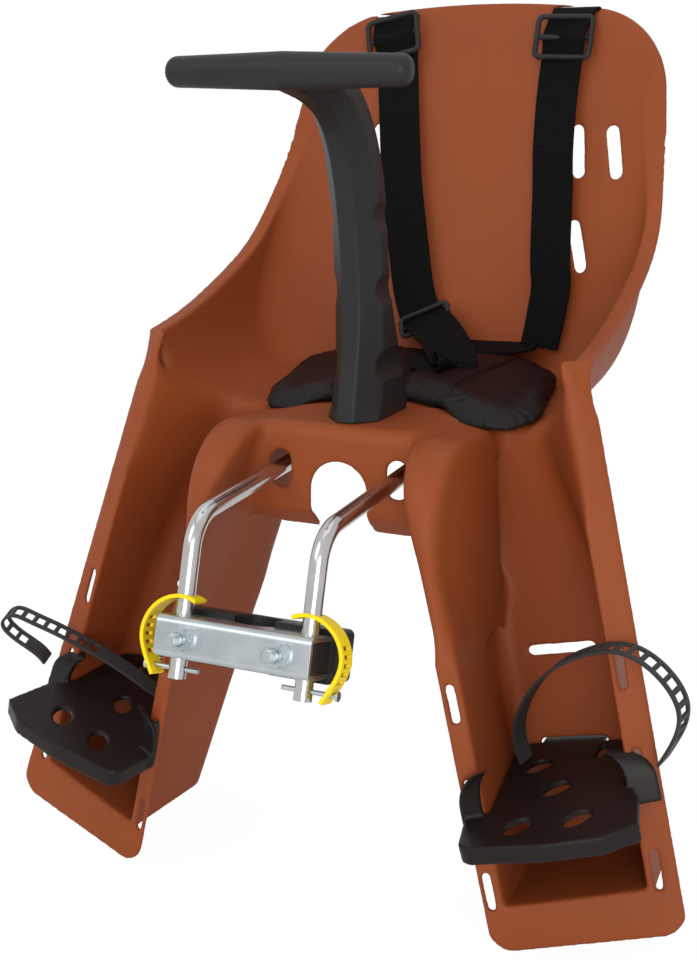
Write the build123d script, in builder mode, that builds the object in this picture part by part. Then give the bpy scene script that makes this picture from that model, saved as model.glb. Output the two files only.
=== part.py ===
"""Front-mounted child seat for a bicycle: moulded bucket with leg guards, T grip, steel bow and stem clamp.

Millimetres. The origin is the middle of the stem clamp, +Z is up, and the child faces -Y.
"""

import os
from math import atan2, cos, degrees, radians, sin, tan

from build123d import *

# Place of the seat over the clamp: the top of the saddle's arch
saddle_y = 118.5
arch_z = 85.5

# Moulded wall of the shell
wall = 4.0
lip_wall = 4.5
lip_width = 8.0
far = 600.0

# Bucket, in the plane of the pan: height, half width, middle of the back, depth of the back's curve
pan_height = 11.0
pan_tilt = 6.3
bucket_front = -80.0
bucket_stations = [
    (0.0, 112.0, 224.0, 70.0),
    (20.0, 137.0, 231.0, 74.0),
    (55.0, 148.0, 244.0, 66.0),
    (120.0, 147.0, 269.0, 42.0),
    (190.0, 147.0, 294.0, 25.0),
    (285.0, 145.0, 330.0, 22.0),
]

# Rim line of the arms and the back, seen from the side, and the rounded top, seen from the front
rim_points = [(30.0, 74.5), (88.0, 87.0), (135.0, 103.0), (180.0, 124.0), (206.0, 145.0), (226.0, 169.0),
              (243.0, 197.0), (256.0, 228.0), (264.0, 262.0), (269.0, 320.0)]
rim_lean = 0.6
crown_half_width = 139.0
crown_shoulder = 290.0
crown_top = 303.5
crown_radius = 70.0
crown_flare = 17.0
wing_height = 185.0

# Leg channels, each in a frame splayed outwards: distance along the leg is measured downwards
leg_splay = 13.3
leg_top = -35.0
leg_end = 321.0
inner_rim_top = (66.5, -55.0)
inner_rim_end = (61.0, -55.0)
outer_rim_top = (171.5, 30.2)
outer_rim_end = (182.7, -26.8)
inner_flange = 13.5
outer_flange = 21.0
inner_corner_radius = 12.0
outer_corner_radius = 16.0
foot_radius = 16.0
mouth_reach = 60.0
# Distance along the leg, inner and outer corner of the back wall, place of the back wall
rest_distance = 227.0
leg_stations = [
    (-75.0, 66.0, 146.0, 78.0),
    (-20.0, 57.0, 128.0, 68.0),
    (15.0, 54.0, 120.0, 70.0),
    (70.0, 56.5, 131.0, 73.0),
    (158.0, 61.0, 148.0, 60.0),
    (rest_distance, 64.5, 153.0, 49.0),
    (262.0, 66.3, 156.0, 44.0),
    (290.0, 67.6, 157.5, 38.0),
]

# Saddle between the thighs, seen from the side: pan, top, front wall and the toe that bends back
saddle_top = 24.0
saddle_profile = [(100.0, 19.0), (84.0, saddle_top), (0.0, saddle_top), (0.0, -36.0), (16.0, -50.0)]
saddle_radius = 10.0
saddle_half_width = 78.0
ridge_centre = (2.0, -32.0)
ridge_radius = 57.0
ridge_reach = 100.0
arch_half_width = 20.0
arch_drop = 60.0
rod_hole = (26.0, 14.0)

# Slots of the leg channels for the footrests
slot_pitch = 63.0
slot_top = 153.0
slot_size = (26.5, 4.5)
slot_inset = 5.0
outer_slot_inset = 13.0
back_slot_top = 158.0
back_slot_size = (47.5, 6.0)
back_slot_middle = 105.7

# Running clearance between pieces that are fitted together
clearance = 0.3

# Vents of the back, seen from the front: across, height, lean
vents = [(83.0, 193.0, 8.0), (112.5, 193.0, 13.0), (91.5, 124.0, 18.0)]
vent_size = (39.0, 9.0)

# Grip: centre along and height, lean towards the front, length and width of each section of the post
grip_stations = [
    (46.0, saddle_top, 0.0, 70.0, 37.0),
    (40.0, 95.0, 3.0, 37.0, 35.0),
    (31.0, 155.0, 10.0, 32.0, 34.0),
    (18.0, 200.0, 25.0, 32.0, 33.0),
    (-4.0, 228.0, 52.0, 29.0, 32.0),
    (-40.0, 243.0, 78.0, 25.0, 31.0),
    (-72.0, 247.0, 88.0, 20.0, 30.0),
]
grip_facet = 12.0
grip_shoulder = 14.0
grip_round = 8.0
grip_scallops = [60.0, 110.0, 158.0]
scallop_radius = 16.0
scallop_centre = 30.0
bar_place = (-74.0, 247.0)
bar_half_length = 78.0
bar_radius = 11.0
bar_end_radius = 9.0
bar_sweep = 4.0
grip_screw_places = [30.0, 62.0]
grip_screw_radius = 3.0
grip_screw_reach = 22.0

# Steel bow: two rods that leave the seat forwards and bend down into the clamp
rod_radius = 5.5
rod_half_span = 42.1
rod_hole_place = -8.0
rod_slope = 2.617
rod_axis = -7.24
bow_front = -113.0
bow_rear = 200.0
bow_drop = 97.5
bow_bend = 26.0

# Brackets that hold the bow under the pan
bracket_places = [90.0, 158.0]
bracket_size = (116.0, 24.0, 10.0)
boss_height = 40.0
bracket_screw_span = 44.0
bracket_screw_radius = 2.5
bracket_screw_reach = 12.0
screw_head = 3.2

# Stem clamp, from the axis of the stem: block and plate depths run forwards and backwards
stem_lean = 16.7
stem_radius = 14.3
clamp_parting = 1.0
pad_size = (110.0, 32.0)
pad_depth = 4.0
channel_width = 102.0
channel_height = 25.0
channel_sheet = 3.0
channel_front = 32.5
rod_forward = 15.7
rear_block_depth = 19.0
bolt_half_span = 31.4
bolt_radius = 4.0
bolt_tip = 49.0
bolt_head = (6.5, 5.3)
nut_across = 13.0
nut_thick = 6.5
washer_radius = 8.0
washer_thick = 1.6

# Safety pins and their straps below the clamp
pin_radius = 1.5
pin_drop = 20.0
pin_reach = (28.0, 63.0)
safety_band = (14.0, 2.4)
safety_path = [(32.0, 21.5), (52.0, 21.5), (62.5, 12.0), (66.0, -2.0), (62.0, -14.0), (56.0, -25.0)]
safety_holes = 5
safety_hole = (8.0, 2.6)
safety_hole_pitch = 5.0

# Footrests: the plate's front edge in the leg's frame, and the ears that hook into the flange
rest_thick = 4.0
rest_tilt = 3.7
rest_gap = 2.0
rest_front = [(170.0, -34.0), (178.0, -68.0), (158.6, -84.0), (124.0, -92.0), (70.8, -95.0)]
rest_front_radius = 10.0
rest_holes = [(137.4, -59.6), (101.5, -68.5), (113.2, -20.0), (126.4, 28.5), (91.7, 12.5)]
rest_hole_size = (13.0, 22.0)
rest_hole_turn = -28.0
rest_lip = (12.0, 3.0)
tab_reach = 8.0
ear_thick = 4.0
ear_base = 20.0
inner_ear = (14.0, 40.0)
outer_ear = (20.0, 34.0)
hook_size = (3.6, 20.0)
hook_reach = 5.0

# Foot straps, in a plane that stands askew in the channel
strap_origin = (70.0, 12.0, 136.0)
low_strap_forward = 14.5
strap_yaw = -0.30
strap_lean = -0.114
strap_path = [(9.5, -84.0), (9.5, -64.5), (22.5, -40.5), (49.5, -16.0), (81.5, -2.0), (111.5, 0.0),
              (131.5, -15.0), (139.0, -37.0), (127.0, -61.5), (115.0, -75.5)]
low_strap_path = [(9.5, -85.0), (40.0, -71.5), (65.0, -61.0), (89.0, -53.5), (112.0, -47.5), (132.0, -43.5),
                  (146.5, -43.5), (151.5, -51.0), (144.0, -59.5), (130.0, -66.0), (115.5, -75.5)]
strap_band = (14.0, 2.0)
strap_hole = (6.0, 9.0)
strap_hole_pitch = 9.0
strap_hole_range = (0.36, 0.92)

# Cushion, in the plane of the pan: its left half, from behind the grip to the back, and the right one's share
cushion_outline = [(0.0, 97.0), (14.0, 95.0), (34.0, 86.0), (49.0, 70.0), (64.0, 60.0), (80.0, 55.0),
                   (100.0, 56.0), (112.0, 66.0), (118.0, 82.0), (117.0, 105.0), (112.0, 136.0), (107.0, 165.0),
                   (92.0, 194.0), (60.0, 208.0), (0.0, 214.0)]
cushion_thick = 12.0
cushion_right_share = 0.87

# Harness of woven belt: both shoulder belts follow one path over the top of the back, seen from the side
belt = (34.0, 2.0)
belt_tops = [(70.0, 303.4, 0.0), (-80.0, 305.6, 12.0)]
belt_path = [(288.0, -43.0), (290.0, -25.0), (301.0, -13.0), (301.5, -3.0), (292.0, 2.0), (280.0, 0.8),
             (271.5, -6.0), (268.0, -25.0), (254.0, -110.0), (231.0, -184.0), (219.0, -220.0), (208.5, -243.0),
             (198.0, -255.0)]
slide_size = (43.0, 27.0, 3.2)
slide_slot = (35.5, 6.0)
slide_pitch = 11.0
slide_place = (264.4, -30.0, 9.0)
adjuster_place = (207.6, -237.0, 24.0)
lap_belt = (5.0, 53.0, 194.0)
tail_across = -12.0
tail_path = [(197.0, 21.0), (184.0, 25.0), (168.0, 24.0), (160.0, 19.5), (166.0, 15.0), (178.0, 13.7),
             (194.0, 13.5)]


def place(x, y, z):
    """A point given from the top of the arch."""
    return Vector(x, saddle_y + y, arch_z + z)


def at(start, end, distance):
    """The point of a straight rim at a distance along the leg."""
    share = (distance - leg_top) / (leg_end - leg_top)
    return Vector(*start) + (Vector(*end) - Vector(*start)) * share


def pushed_out(points, amount):
    """The corners of an outline, taken clockwise, whose sides have all moved outwards."""
    moved = []
    for i, point in enumerate(points):
        before = (point - points[i - 1]).normalized()
        after = (points[(i + 1) % len(points)] - point).normalized()
        normal_before = Vector(-before.Y, before.X)
        normal_after = Vector(-after.Y, after.X)
        reach = amount / (1 + normal_before.dot(normal_after))
        moved.append(point + (normal_before + normal_after) * reach)
    return moved


seat_side = Plane(place(0, 0, 0), (0, 1, 0), (1, 0, 0))
seat_face = Plane(place(0, 0, 0), (1, 0, 0), (0, -1, 0))
pan = Plane(place(0, 0, pan_height), (1, 0, 0), (0, -sin(radians(pan_tilt)), cos(radians(pan_tilt))))
splay_across = (cos(radians(leg_splay)), 0, sin(radians(leg_splay)))
splay_up = (-sin(radians(leg_splay)), 0, cos(radians(leg_splay)))
leg = Plane(place(0, 0, 0), splay_across, splay_up)
leg_face = Plane(leg.origin, leg.x_dir, (0, -1, 0))


def bucket_section(height, half_width, back, depth, grow):
    """One plan section of the bucket: straight sides and an elliptic back."""
    side = half_width + grow
    with BuildSketch(pan.offset(height)) as section:
        with BuildLine():
            Line((side, bucket_front), (side, back - depth))
            EllipticalCenterArc((0, back - depth), side, depth + grow, start_angle=0, arc_size=180)
            Line((-side, back - depth), (-side, bucket_front))
            Line((-side, bucket_front), (side, bucket_front))
        make_face()
    return section.sketch


def bucket_loft(grow, floor):
    """The bucket's sections, all grown by one amount, with the lowest one lowered by the floor."""
    lowest, *others = bucket_stations
    sections = [bucket_section(lowest[0] - floor, *lowest[1:], grow)]
    return sections + [bucket_section(*station, grow) for station in others]


def rim_prism(drop):
    """What lies behind and below the rim line, which runs along the arms and up the sides of the back."""
    points = [(along + drop * rim_lean, height - drop) for along, height in rim_points]
    with BuildPart() as prism:
        with BuildSketch(seat_side):
            with BuildLine():
                Spline(*points)
                Polyline(points[-1], (far, points[-1][1]), (far, -far), (points[0][0], -far), points[0])
            make_face()
        extrude(amount=far, both=True)
    return prism.part


def crown_prism(drop):
    """What lies below the rounded top of the back, as seen from the front."""
    side = crown_half_width - drop
    flared = side + crown_flare
    shoulder = crown_shoulder - drop
    with BuildPart() as prism:
        with BuildSketch(seat_face):
            with BuildLine():
                Polyline((side, shoulder), (flared, wing_height), (far, wing_height), (far, -far), (-far, -far),
                         (-far, wing_height), (-flared, wing_height), (-side, shoulder))
                ThreePointArc((-side, shoulder), (0, crown_top - drop), (side, shoulder))
            make_face()
            fillet(vertices().group_by(Axis.Y)[-1], crown_radius)
        extrude(amount=far, both=True)
    return prism.part


def leg_corners(station):
    """The corners of a leg channel's hollow: inner front, inner back, outer back and outer front."""
    distance, inner, outer, back = station
    rim_in = at(inner_rim_top, inner_rim_end, distance)
    rim_out = at(outer_rim_top, outer_rim_end, distance)
    across = (rim_out - rim_in).normalized()
    return [rim_in + across * inner_flange, Vector(inner, back), Vector(outer, back),
            rim_out - across * outer_flange]


def moved_front(corners, amount):
    """The same corners with the mouth moved forwards along the channel's side walls."""
    inner_side = (corners[0] - corners[1]).normalized()
    outer_side = (corners[3] - corners[2]).normalized()
    return [corners[0] + inner_side * amount, corners[1], corners[2], corners[3] + outer_side * amount]


def leg_section(distance, points, grow):
    """One section of a leg channel, square to the leg, with rounded corners at the back."""
    with BuildSketch(leg.offset(-distance)) as section:
        with BuildLine():
            FilletPolyline(*points, radius=[inner_corner_radius + grow, outer_corner_radius + grow])
            Line(points[-1], points[0])
        make_face()
    return section.sketch


def rim_slab(distance, thick):
    """A section of a slab whose front is the flat flange round the mouth of a leg channel."""
    rim_in = at(inner_rim_top, inner_rim_end, distance)
    rim_out = at(outer_rim_top, outer_rim_end, distance)
    across = (rim_out - rim_in).normalized()
    behind = Vector(-across.Y, across.X) * thick
    with BuildSketch(leg.offset(-distance)) as section:
        with BuildLine():
            Polyline(rim_in, rim_out, rim_out + behind, rim_in + behind, close=True)
        make_face()
    return section.sketch


def grip_section(along, height, lean, length, width):
    """One section of the grip's post: a narrow facet in front, full width further back, rounded behind."""
    plane = Plane(place(0, along, height), (1, 0, 0), (0, -sin(radians(lean)), cos(radians(lean))))
    front = -length / 2
    shoulder = front + min(grip_shoulder, 0.45 * length)
    with BuildSketch(plane) as section:
        with BuildLine():
            Polyline((grip_facet / 2, front), (width / 2, shoulder), (width / 2, length / 2),
                     (-width / 2, length / 2), (-width / 2, shoulder), (-grip_facet / 2, front), close=True)
        make_face()
        fillet(vertices().group_by(Axis.Y)[-1], min(grip_round, 0.22 * length))
    return section.sketch


def band(plane, points, thick, width):
    """A flat band bent along a curve through points of a plane, with its width square to that plane."""
    with BuildPart() as strip:
        with BuildSketch(plane):
            with BuildLine():
                Spline(*points)
            trace(line_width=thick)
        extrude(amount=width / 2, both=True)
    return strip.part


def ladder(plane, points, size, pitch, first, last):
    """Cutters for a row of slots along the same curve, between two shares of its length."""
    path = Edge.make_spline([Vector(*point) for point in points])
    count = int(path.length * (last - first) / pitch)
    with BuildPart() as cutters:
        with BuildSketch(plane):
            for i in range(count):
                share = first + (i + 0.5) * pitch / path.length
                heading = path % share
                with Locations(path @ share):
                    Rectangle(size[0], 2 * size[0], rotation=degrees(atan2(heading.Y, heading.X)))
        extrude(amount=size[1] / 2, both=True)
    return cutters.part


def leg_point(across, along, distance):
    """A point of the left leg's own frame."""
    return leg.offset(-distance).from_local_coords(Vector(across, along, 0))


def flange_plane(rim_top, rim_end, distance):
    """The front face of a leg's flange at one rim: X across the leg, Y up it, Z forwards."""
    here = at(rim_top, rim_end, distance)
    above = at(rim_top, rim_end, distance - 1)
    across = at(outer_rim_top, outer_rim_end, distance) - at(inner_rim_top, inner_rim_end, distance)
    origin = leg_point(here.X, here.Y, distance)
    x_dir = leg_point(here.X + across.X, here.Y + across.Y, distance) - origin
    up = leg_point(above.X, above.Y, distance - 1) - origin
    return Plane(origin, x_dir, x_dir.cross(up))


# Planes of the bow's upper run, of the clamp and of its sides, of the footrest and its strap
bow_plane = Plane(place(0, 0, rod_axis), (1, 0, 0), (0, -sin(radians(rod_slope)), cos(radians(rod_slope))))
stem_plane = Plane((0, 0, 0), (1, 0, 0), (0, sin(radians(stem_lean)), cos(radians(stem_lean))))
stem_face = Plane((0, 0, 0), (1, 0, 0), stem_plane.y_dir * -1)
stem_side = Plane((0, 0, 0), stem_plane.y_dir, (1, 0, 0))
rod_face = stem_face.offset(rod_forward)
rest_station = [station for station in leg_stations if station[0] == rest_distance][0]
rest_back = rest_station[3]
rest_level = back_slot_top + slot_pitch - rest_thick / 2
rest_up = leg.z_dir * cos(radians(rest_tilt)) - leg.y_dir * sin(radians(rest_tilt))
rest_plane = Plane(leg_point(0, 0, rest_level + rest_back * tan(radians(rest_tilt))), leg.x_dir, rest_up)
strap_x = leg.x_dir + leg.y_dir * strap_yaw
strap_up = leg.z_dir + leg.y_dir * strap_lean
strap_plane = Plane(leg_point(*strap_origin), strap_x, strap_x.cross(strap_up))
pan_side = Plane(pan.from_local_coords(Vector(tail_across, 0, 0)), pan.y_dir, pan.x_dir)


# Hollow and body of the bucket
with BuildPart() as bucket_space:
    loft(bucket_loft(0.0, 0.0))

with BuildPart() as bucket_body:
    loft(bucket_loft(wall, wall))
    add(rim_prism(0), mode=Mode.INTERSECT)
    add(crown_prism(0), mode=Mode.INTERSECT)

# Turned-out lip along the arms and round the top
with BuildPart() as below_lip:
    add(rim_prism(lip_wall))
    add(crown_prism(lip_wall), mode=Mode.INTERSECT)

with BuildPart() as bucket_lip:
    loft(bucket_loft(wall + lip_width, wall))
    add(bucket_space.part, mode=Mode.SUBTRACT)
    add(rim_prism(0), mode=Mode.INTERSECT)
    add(crown_prism(0), mode=Mode.INTERSECT)
    add(below_lip.part, mode=Mode.SUBTRACT)

# Left leg channel: hollow, body, and the flange with its slots
with BuildPart() as leg_space:
    loft([leg_section(s[0], moved_front(leg_corners(s), mouth_reach), 0.0) for s in leg_stations])

with BuildPart() as arm_level:
    with BuildSketch(seat_side):
        Polygon((-far, -far), (far, -far), (far, rim_points[0][1]), (-far, rim_points[0][1]), align=None)
    extrude(amount=far, both=True)

with BuildPart() as leg_body:
    sections = []
    for station in leg_stations:
        seated = moved_front(leg_corners(station), -wall)
        floor = wall if station is leg_stations[-1] else 0.0
        sections.append(leg_section(station[0] + floor, pushed_out(seated, wall), wall))
    loft(sections)
    add(arm_level.part, mode=Mode.INTERSECT)

with BuildPart() as leg_flange:
    loft([rim_slab(leg_top - 40, lip_wall), rim_slab(leg_end, lip_wall)], ruled=True)
    with BuildSketch(leg_face):
        with BuildLine():
            inner_side = inner_rim_end[0]
            outer_side = outer_rim_end[0]
            FilletPolyline((inner_side, far), (inner_side, -leg_end), (outer_side, -leg_end), (outer_side, far),
                           radius=foot_radius)
            Line((outer_side, far), (inner_side, far))
        make_face()
    extrude(amount=far, both=True, mode=Mode.INTERSECT)
    add(arm_level.part, mode=Mode.INTERSECT)
    add(leg_space.part, mode=Mode.SUBTRACT)
    with BuildSketch(leg_face):
        for step in range(3):
            distance = slot_top + step * slot_pitch
            rim_in = at(inner_rim_top, inner_rim_end, distance)
            rim_out = at(outer_rim_top, outer_rim_end, distance)
            with Locations((rim_in.X + slot_inset, -distance), (rim_out.X - outer_slot_inset, -distance)):
                SlotOverall(*slot_size, rotation=90)
    extrude(amount=far, both=True, mode=Mode.SUBTRACT)

# Saddle: one bent wall between the legs' inner walls, and the curved ridge down to each inner rim
with BuildPart() as saddle:
    with BuildSketch(seat_side):
        with BuildLine():
            FilletPolyline(*saddle_profile, radius=saddle_radius)
            offset(amount=wall, side=Side.LEFT)
        make_face()
    extrude(amount=saddle_half_width, both=True)
    add(leg_space.part, mode=Mode.SUBTRACT)
    mirror(leg_space.part, about=Plane.YZ, mode=Mode.SUBTRACT)

with BuildPart() as over_ridge:
    with BuildSketch(seat_side):
        with Locations(ridge_centre):
            Rectangle(2 * ridge_radius, 4 * ridge_radius, align=(Align.MAX, Align.MIN))
            Circle(ridge_radius, mode=Mode.SUBTRACT)
    extrude(amount=ridge_reach, both=True)

with BuildPart() as behind_flange:
    loft([rim_slab(leg_top - 40, ridge_reach), rim_slab(leg_end, ridge_reach)], ruled=True)

with BuildPart() as ridge:
    with BuildSketch(seat_side):
        with Locations(ridge_centre):
            Circle(ridge_radius)
            Circle(ridge_radius - lip_wall, mode=Mode.SUBTRACT)
            Rectangle(2 * ridge_radius, 2 * ridge_radius, align=(Align.MAX, Align.MIN), mode=Mode.INTERSECT)
    extrude(amount=ridge_reach)
    with BuildSketch(leg_face):
        with Locations((inner_rim_top[0], 0)):
            Rectangle(inner_flange, far, align=(Align.MIN, Align.CENTER))
    extrude(amount=far, both=True, mode=Mode.INTERSECT)
    add(behind_flange.part, mode=Mode.INTERSECT)

# Bosses under the pan that the bow lies against
with BuildPart() as bow_grooves:
    with BuildSketch(Plane(bow_plane.origin, bow_plane.x_dir, bow_plane.y_dir)):
        with GridLocations(2 * rod_half_span, 0, 2, 1):
            Circle(rod_radius + clearance)
    extrude(amount=far, both=True)

with BuildPart() as bow_bosses:
    with BuildSketch(bow_plane):
        with Locations([(0, along) for along in bracket_places]):
            RectangleRounded(bracket_size[0], bracket_size[1], 6)
    extrude(amount=boss_height)
    with BuildSketch(bow_plane):
        with Locations([(0, along) for along in bracket_places]):
            with GridLocations(bracket_screw_span, 0, 2, 1):
                Circle(bracket_screw_radius + clearance)
    extrude(amount=bracket_screw_reach + 1, mode=Mode.SUBTRACT)
    add(bow_grooves.part, mode=Mode.SUBTRACT)
    add(bucket_space.part, mode=Mode.SUBTRACT)

with BuildPart() as seat_shell:
    add(bucket_body.part)
    add(leg_body.part)
    mirror(leg_body.part, about=Plane.YZ)
    add(bucket_space.part, mode=Mode.SUBTRACT)
    add(leg_space.part, mode=Mode.SUBTRACT)
    mirror(leg_space.part, about=Plane.YZ, mode=Mode.SUBTRACT)
    add(bucket_lip.part)
    add(leg_flange.part)
    mirror(leg_flange.part, about=Plane.YZ)
    add(over_ridge.part, mode=Mode.SUBTRACT)
    with BuildSketch(Plane(place(0, 0, saddle_top - wall))):
        Rectangle(2 * rod_half_span, saddle_profile[1][0], align=(Align.CENTER, Align.MIN))
    extrude(amount=-saddle_top, mode=Mode.SUBTRACT)
    add(saddle.part)
    add(ridge.part)
    mirror(ridge.part, about=Plane.YZ)
    add(bow_bosses.part)
    # Arch and rod holes in the front wall
    with BuildSketch(seat_face):
        with Locations((0, -arch_half_width)):
            Circle(arch_half_width)
            Rectangle(2 * arch_half_width, arch_drop, align=(Align.CENTER, Align.MAX))
        with Locations((-rod_half_span, rod_hole_place), (rod_half_span, rod_hole_place)):
            SlotOverall(*rod_hole, rotation=90)
    extrude(amount=-30, both=True, mode=Mode.SUBTRACT)
    # Holes for the grip's screws in the saddle's top
    with BuildSketch(Plane(place(0, 0, saddle_top))):
        with Locations([(0, along) for along in grip_screw_places]):
            Circle(grip_screw_radius + clearance)
    extrude(amount=-2 * wall, mode=Mode.SUBTRACT)
    # Vents of the back
    with BuildSketch(seat_face):
        for across, height, lean in vents:
            with Locations((across, height)):
                SlotOverall(*vent_size, rotation=90 + lean)
            with Locations((-across, height)):
                SlotOverall(*vent_size, rotation=90 - lean)
    extrude(amount=-far, mode=Mode.SUBTRACT)
    # Slots in the back of each leg channel
    with BuildSketch(leg_face):
        for step in range(2):
            with Locations((back_slot_middle, -back_slot_top - step * slot_pitch)):
                SlotOverall(*back_slot_size)
    extrude(amount=-80, mode=Mode.SUBTRACT)
    with BuildSketch(Plane(leg_face.origin, Vector(-leg.x_dir.X, 0, leg.x_dir.Z), (0, 1, 0))):
        for step in range(2):
            with Locations((back_slot_middle, -back_slot_top - step * slot_pitch)):
                SlotOverall(*back_slot_size)
    extrude(amount=80, mode=Mode.SUBTRACT)

# Grip: a post of lofted sections that bends forwards into the cross bar
bar_middle = place(0, *bar_place)
bar_axis = Vector(cos(radians(bar_sweep)), sin(radians(bar_sweep)), 0)

with BuildPart() as half_bar:
    with BuildSketch(Plane(bar_middle, bar_axis, (0, 0, 1))):
        with BuildLine():
            Polyline((-bar_radius, 0), (-bar_radius, bar_radius), (0, bar_radius),
                     (bar_half_length, bar_end_radius), (bar_half_length, 0), close=True)
        make_face()
        fillet(vertices().group_by(Axis.X)[-1].sort_by(Axis.Y)[-1], bar_end_radius * 0.7)
    revolve(axis=Axis(bar_middle, bar_axis))
    split(bisect_by=Plane.YZ)

with BuildPart() as grip_handle:
    loft([grip_section(*station) for station in grip_stations])
    with BuildSketch(seat_face):
        for height in grip_scallops:
            with Locations((scallop_centre, height), (-scallop_centre, height)):
                Circle(scallop_radius)
    extrude(amount=far, both=True, mode=Mode.SUBTRACT)
    add(half_bar.part)
    mirror(half_bar.part, about=Plane.YZ)
    with BuildSketch(Plane(place(0, 0, saddle_top))):
        with Locations([(0, along) for along in grip_screw_places]):
            Circle(grip_screw_radius + clearance)
    extrude(amount=grip_screw_reach + 1, mode=Mode.SUBTRACT)

# Screws that hold the grip from under the saddle's top
grip_screws = []
for along in grip_screw_places:
    with BuildPart(Plane(place(0, along, saddle_top - wall))) as grip_screw:
        Cylinder(2 * grip_screw_radius, screw_head, align=(Align.CENTER, Align.CENTER, Align.MAX))
        Cylinder(grip_screw_radius, wall + grip_screw_reach, align=(Align.CENTER, Align.CENTER, Align.MIN))
    grip_screws.append(grip_screw)

# Bow: one bent rod, both ends down in the clamp
bow_ahead = bow_plane.from_local_coords(Vector(0, bow_front / cos(radians(rod_slope)), 0))
bow_behind = bow_plane.from_local_coords(Vector(0, bow_rear / cos(radians(rod_slope)), 0))
bow_foot = bow_ahead - stem_plane.z_dir * bow_drop
half_span = Vector(rod_half_span, 0, 0)

with BuildPart() as mounting_bow:
    with BuildLine() as bow_line:
        FilletPolyline(bow_foot - half_span, bow_ahead - half_span, bow_behind - half_span,
                       bow_behind + half_span, bow_ahead + half_span, bow_foot + half_span, radius=bow_bend)
    with BuildSketch(Plane(bow_line.line @ 0, z_dir=bow_line.line % 0)):
        Circle(rod_radius)
    sweep()
    with BuildSketch(stem_side):
        with Locations((-rod_forward, -pin_drop)):
            Circle(pin_radius + clearance)
    extrude(amount=far, both=True, mode=Mode.SUBTRACT)

# Brackets that close under the bow, and their screws
brackets = []
bracket_screws = []
for along in bracket_places:
    with BuildPart() as bracket:
        with BuildSketch(bow_plane):
            with Locations((0, along)):
                RectangleRounded(bracket_size[0], bracket_size[1], 6)
        extrude(amount=-bracket_size[2])
        with BuildSketch(bow_plane):
            with Locations((0, along)):
                with GridLocations(bracket_screw_span, 0, 2, 1):
                    Circle(bracket_screw_radius + clearance)
        extrude(amount=-bracket_size[2], mode=Mode.SUBTRACT)
        add(bow_grooves.part, mode=Mode.SUBTRACT)
    brackets.append(bracket)
    for side in (-1, 1):
        foot = bow_plane.from_local_coords(Vector(side * bracket_screw_span / 2, along, -bracket_size[2]))
        with BuildPart(Plane(foot, bow_plane.x_dir, bow_plane.z_dir)) as bracket_screw:
            Cylinder(2 * bracket_screw_radius, screw_head, align=(Align.CENTER, Align.CENTER, Align.MAX))
            Cylinder(bracket_screw_radius, bracket_size[2] + bracket_screw_reach,
                     align=(Align.CENTER, Align.CENTER, Align.MIN))
        bracket_screws.append(bracket_screw)

# Cutters of the clamp: the stem, both rods and both bolts
with BuildPart() as stem_bore:
    with BuildSketch(stem_plane):
        Circle(stem_radius)
    extrude(amount=far, both=True)

with BuildPart() as rod_bores:
    with BuildSketch(stem_plane):
        with Locations((-rod_half_span, -rod_forward), (rod_half_span, -rod_forward)):
            Circle(rod_radius + clearance)
    extrude(amount=far, both=True)

with BuildPart() as bolt_bores:
    with BuildSketch(stem_face):
        with GridLocations(2 * bolt_half_span, 0, 2, 1):
            Circle(bolt_radius + clearance)
    extrude(amount=far, both=True)

# Front half of the clamp: a folded channel round a moulded block with a wide pad
pad_front = clamp_parting + pad_depth
with BuildPart() as clamp_front_channel:
    with BuildSketch(stem_side):
        with BuildLine():
            FilletPolyline((-pad_front, channel_height / 2), (-channel_front, channel_height / 2),
                           (-channel_front, -channel_height / 2), (-pad_front, -channel_height / 2),
                           radius=1.5 * channel_sheet)
            offset(amount=channel_sheet, side=Side.LEFT)
        make_face()
    extrude(amount=channel_width / 2, both=True)
    add(stem_bore.part, mode=Mode.SUBTRACT)
    add(rod_bores.part, mode=Mode.SUBTRACT)
    add(bolt_bores.part, mode=Mode.SUBTRACT)

with BuildPart() as clamp_front_block:
    with BuildSketch(stem_side):
        with Locations((-pad_front, 0)):
            Rectangle(channel_front - channel_sheet - clearance - pad_front,
                      channel_height - 2 * (channel_sheet + clearance), align=(Align.MAX, Align.CENTER))
    extrude(amount=channel_width / 2, both=True)
    fillet(edges().filter_by(Axis.X).group_by(Axis((0, 0, 0), stem_plane.y_dir))[0], 0.5 * channel_sheet)
    with BuildSketch(stem_face.offset(clamp_parting)):
        RectangleRounded(*pad_size, 4)
    extrude(amount=pad_depth)
    add(stem_bore.part, mode=Mode.SUBTRACT)
    add(rod_bores.part, mode=Mode.SUBTRACT)
    add(bolt_bores.part, mode=Mode.SUBTRACT)

# Rear half of the clamp: a moulded block and a steel plate
with BuildPart() as clamp_rear_block:
    with BuildSketch(stem_face.offset(-clamp_parting)):
        RectangleRounded(*pad_size, 4)
    extrude(amount=-rear_block_depth)
    add(stem_bore.part, mode=Mode.SUBTRACT)
    add(bolt_bores.part, mode=Mode.SUBTRACT)

plate_back = clamp_parting + rear_block_depth
with BuildPart() as clamp_rear_plate:
    with BuildSketch(stem_face.offset(-plate_back)):
        RectangleRounded(channel_width, channel_height, 4)
    extrude(amount=-channel_sheet)
    add(bolt_bores.part, mode=Mode.SUBTRACT)

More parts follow.
